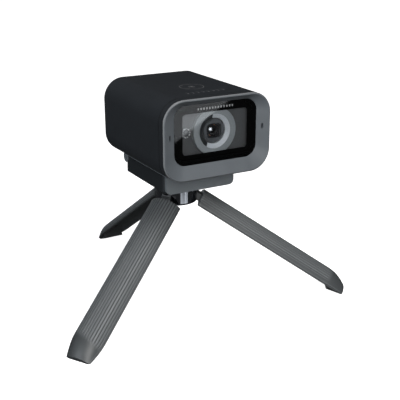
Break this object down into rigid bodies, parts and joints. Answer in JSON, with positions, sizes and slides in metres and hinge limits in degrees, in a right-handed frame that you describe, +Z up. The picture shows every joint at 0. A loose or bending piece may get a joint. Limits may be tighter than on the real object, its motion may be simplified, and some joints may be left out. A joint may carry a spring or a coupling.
{
  "type": "webcam on tripod",
  "caption": "Box-shaped webcam with a dished front window, on a hinged screen clip that screws to a small folding desk tripod with ribbed channel legs.",
  "frame": {"origin": "on the surface under the feet, below the middle of the whole object's box", "axes": "+Z up; the lens looks along -Y; +X is to the camera's left hand, the right of the picture, and the feet spread widest along it"},
  "size_m": [0.1884, 0.1679, 0.1353],
  "materials": {
    "casing": "fine matt moulded",
    "frame": "satin slate grey",
    "clip": "fine matt moulded",
    "steel": "satin",
    "glass": "polished",
    "black_trim": "black",
    "light_guide": "milky",
    "circuit_board": "solder mask",
    "copper": "plain",
    "disc": "satin grey",
    "bright_ring": "turned bright",
    "heat_sink": "anodised",
    "mic": "plain",
    "rubber": "matt black",
    "brass": "turned",
    "hub": "polished black",
    "leg": "satin grey, ribbed",
    "lug": "satin grey",
    "shoe": "matt dark"
  },
  "bodies": {
    "hub": {"hub_shell": "hub", "hub_cap": "hub", "hub_pad": "rubber", "leg_pins": "steel"},
    "foot": {"clip_foot": "clip", "grip_pad": "rubber", "thread_insert": "brass", "tripod_screw": "steel"},
    "camera": {"front_frame": "frame", "main_casing": "casing", "rear_cover": "casing", "rear_screws": "steel", "board_screws": "steel", "cover_glass": "glass", "window_border": "black_trim", "indicator_lights": "light_guide", "top_sensor_window": "black_trim", "indicator_board": "circuit_board", "touch_sensor": "copper", "lens_baffle": "black_trim", "lens_disc": "disc", "funnel_ring": "bright_ring", "inner_bezel": "disc", "status_light": "light_guide", "focus_case": "steel", "focus_magnets": "steel", "sensor_holder": "black_trim", "infrared_filter": "glass", "image_sensor": "black_trim", "sensor_board": "circuit_board", "main_board": "circuit_board", "board_chips": "black_trim", "heat_sink": "heat_sink", "usb_socket": "steel", "usb_tongue": "black_trim", "microphones": "mic", "sensor_ribbon": "copper", "clip_arm": "clip", "arm_screws": "steel", "lip_pad": "rubber", "clip_pin": "steel"},
    "lens": {"lens_barrel": "black_trim", "front_lens": "glass", "rear_lens": "glass", "focus_coil": "copper"},
    "leg_left": {"leg_shell_left": "leg", "leg_lug_left": "lug", "leg_shoe_left": "shoe"},
    "leg_right": {"leg_shell_right": "leg", "leg_lug_right": "lug", "leg_shoe_right": "shoe"},
    "leg_back": {"leg_shell_back": "leg", "leg_lug_back": "lug", "leg_shoe_back": "shoe"}
  },
  "joints": [
    {"name": "left_leg_fold", "type": "hinge", "parent": "hub", "child": "leg_left", "pos_m": [-0.00843, -0.02777, 0.06615], "axis": [0.518, -0.8554, 0], "range_deg": [0, 55.5]},
    {"name": "right_leg_fold", "type": "hinge", "parent": "hub", "child": "leg_right", "pos_m": [0.0079, -0.02767, 0.06615], "axis": [0.5075, 0.8616, 0], "range_deg": [0, 55.5]},
    {"name": "back_leg_fold", "type": "hinge", "parent": "hub", "child": "leg_back", "pos_m": [-0.0006, -0.01333, 0.06615], "axis": [-0.9995, -0.0332, 0], "range_deg": [0, 55.5]},
    {"name": "pan", "type": "hinge", "parent": "hub", "child": "foot", "pos_m": [-0.00029, -0.02284, 0.07662], "axis": [0, 0, 1], "continuous": true},
    {"name": "clip_tilt", "type": "hinge", "parent": "foot", "child": "camera", "pos_m": [-0.00119, 0.00042, 0.08582], "axis": [-1, 0, 0], "range_deg": [0, 90]},
    {"name": "focus", "type": "slide", "parent": "camera", "child": "lens", "axis": [0, -1, 0], "range_m": [0, 0.00035], "stiffness_N_per_m": 60}
  ]
}
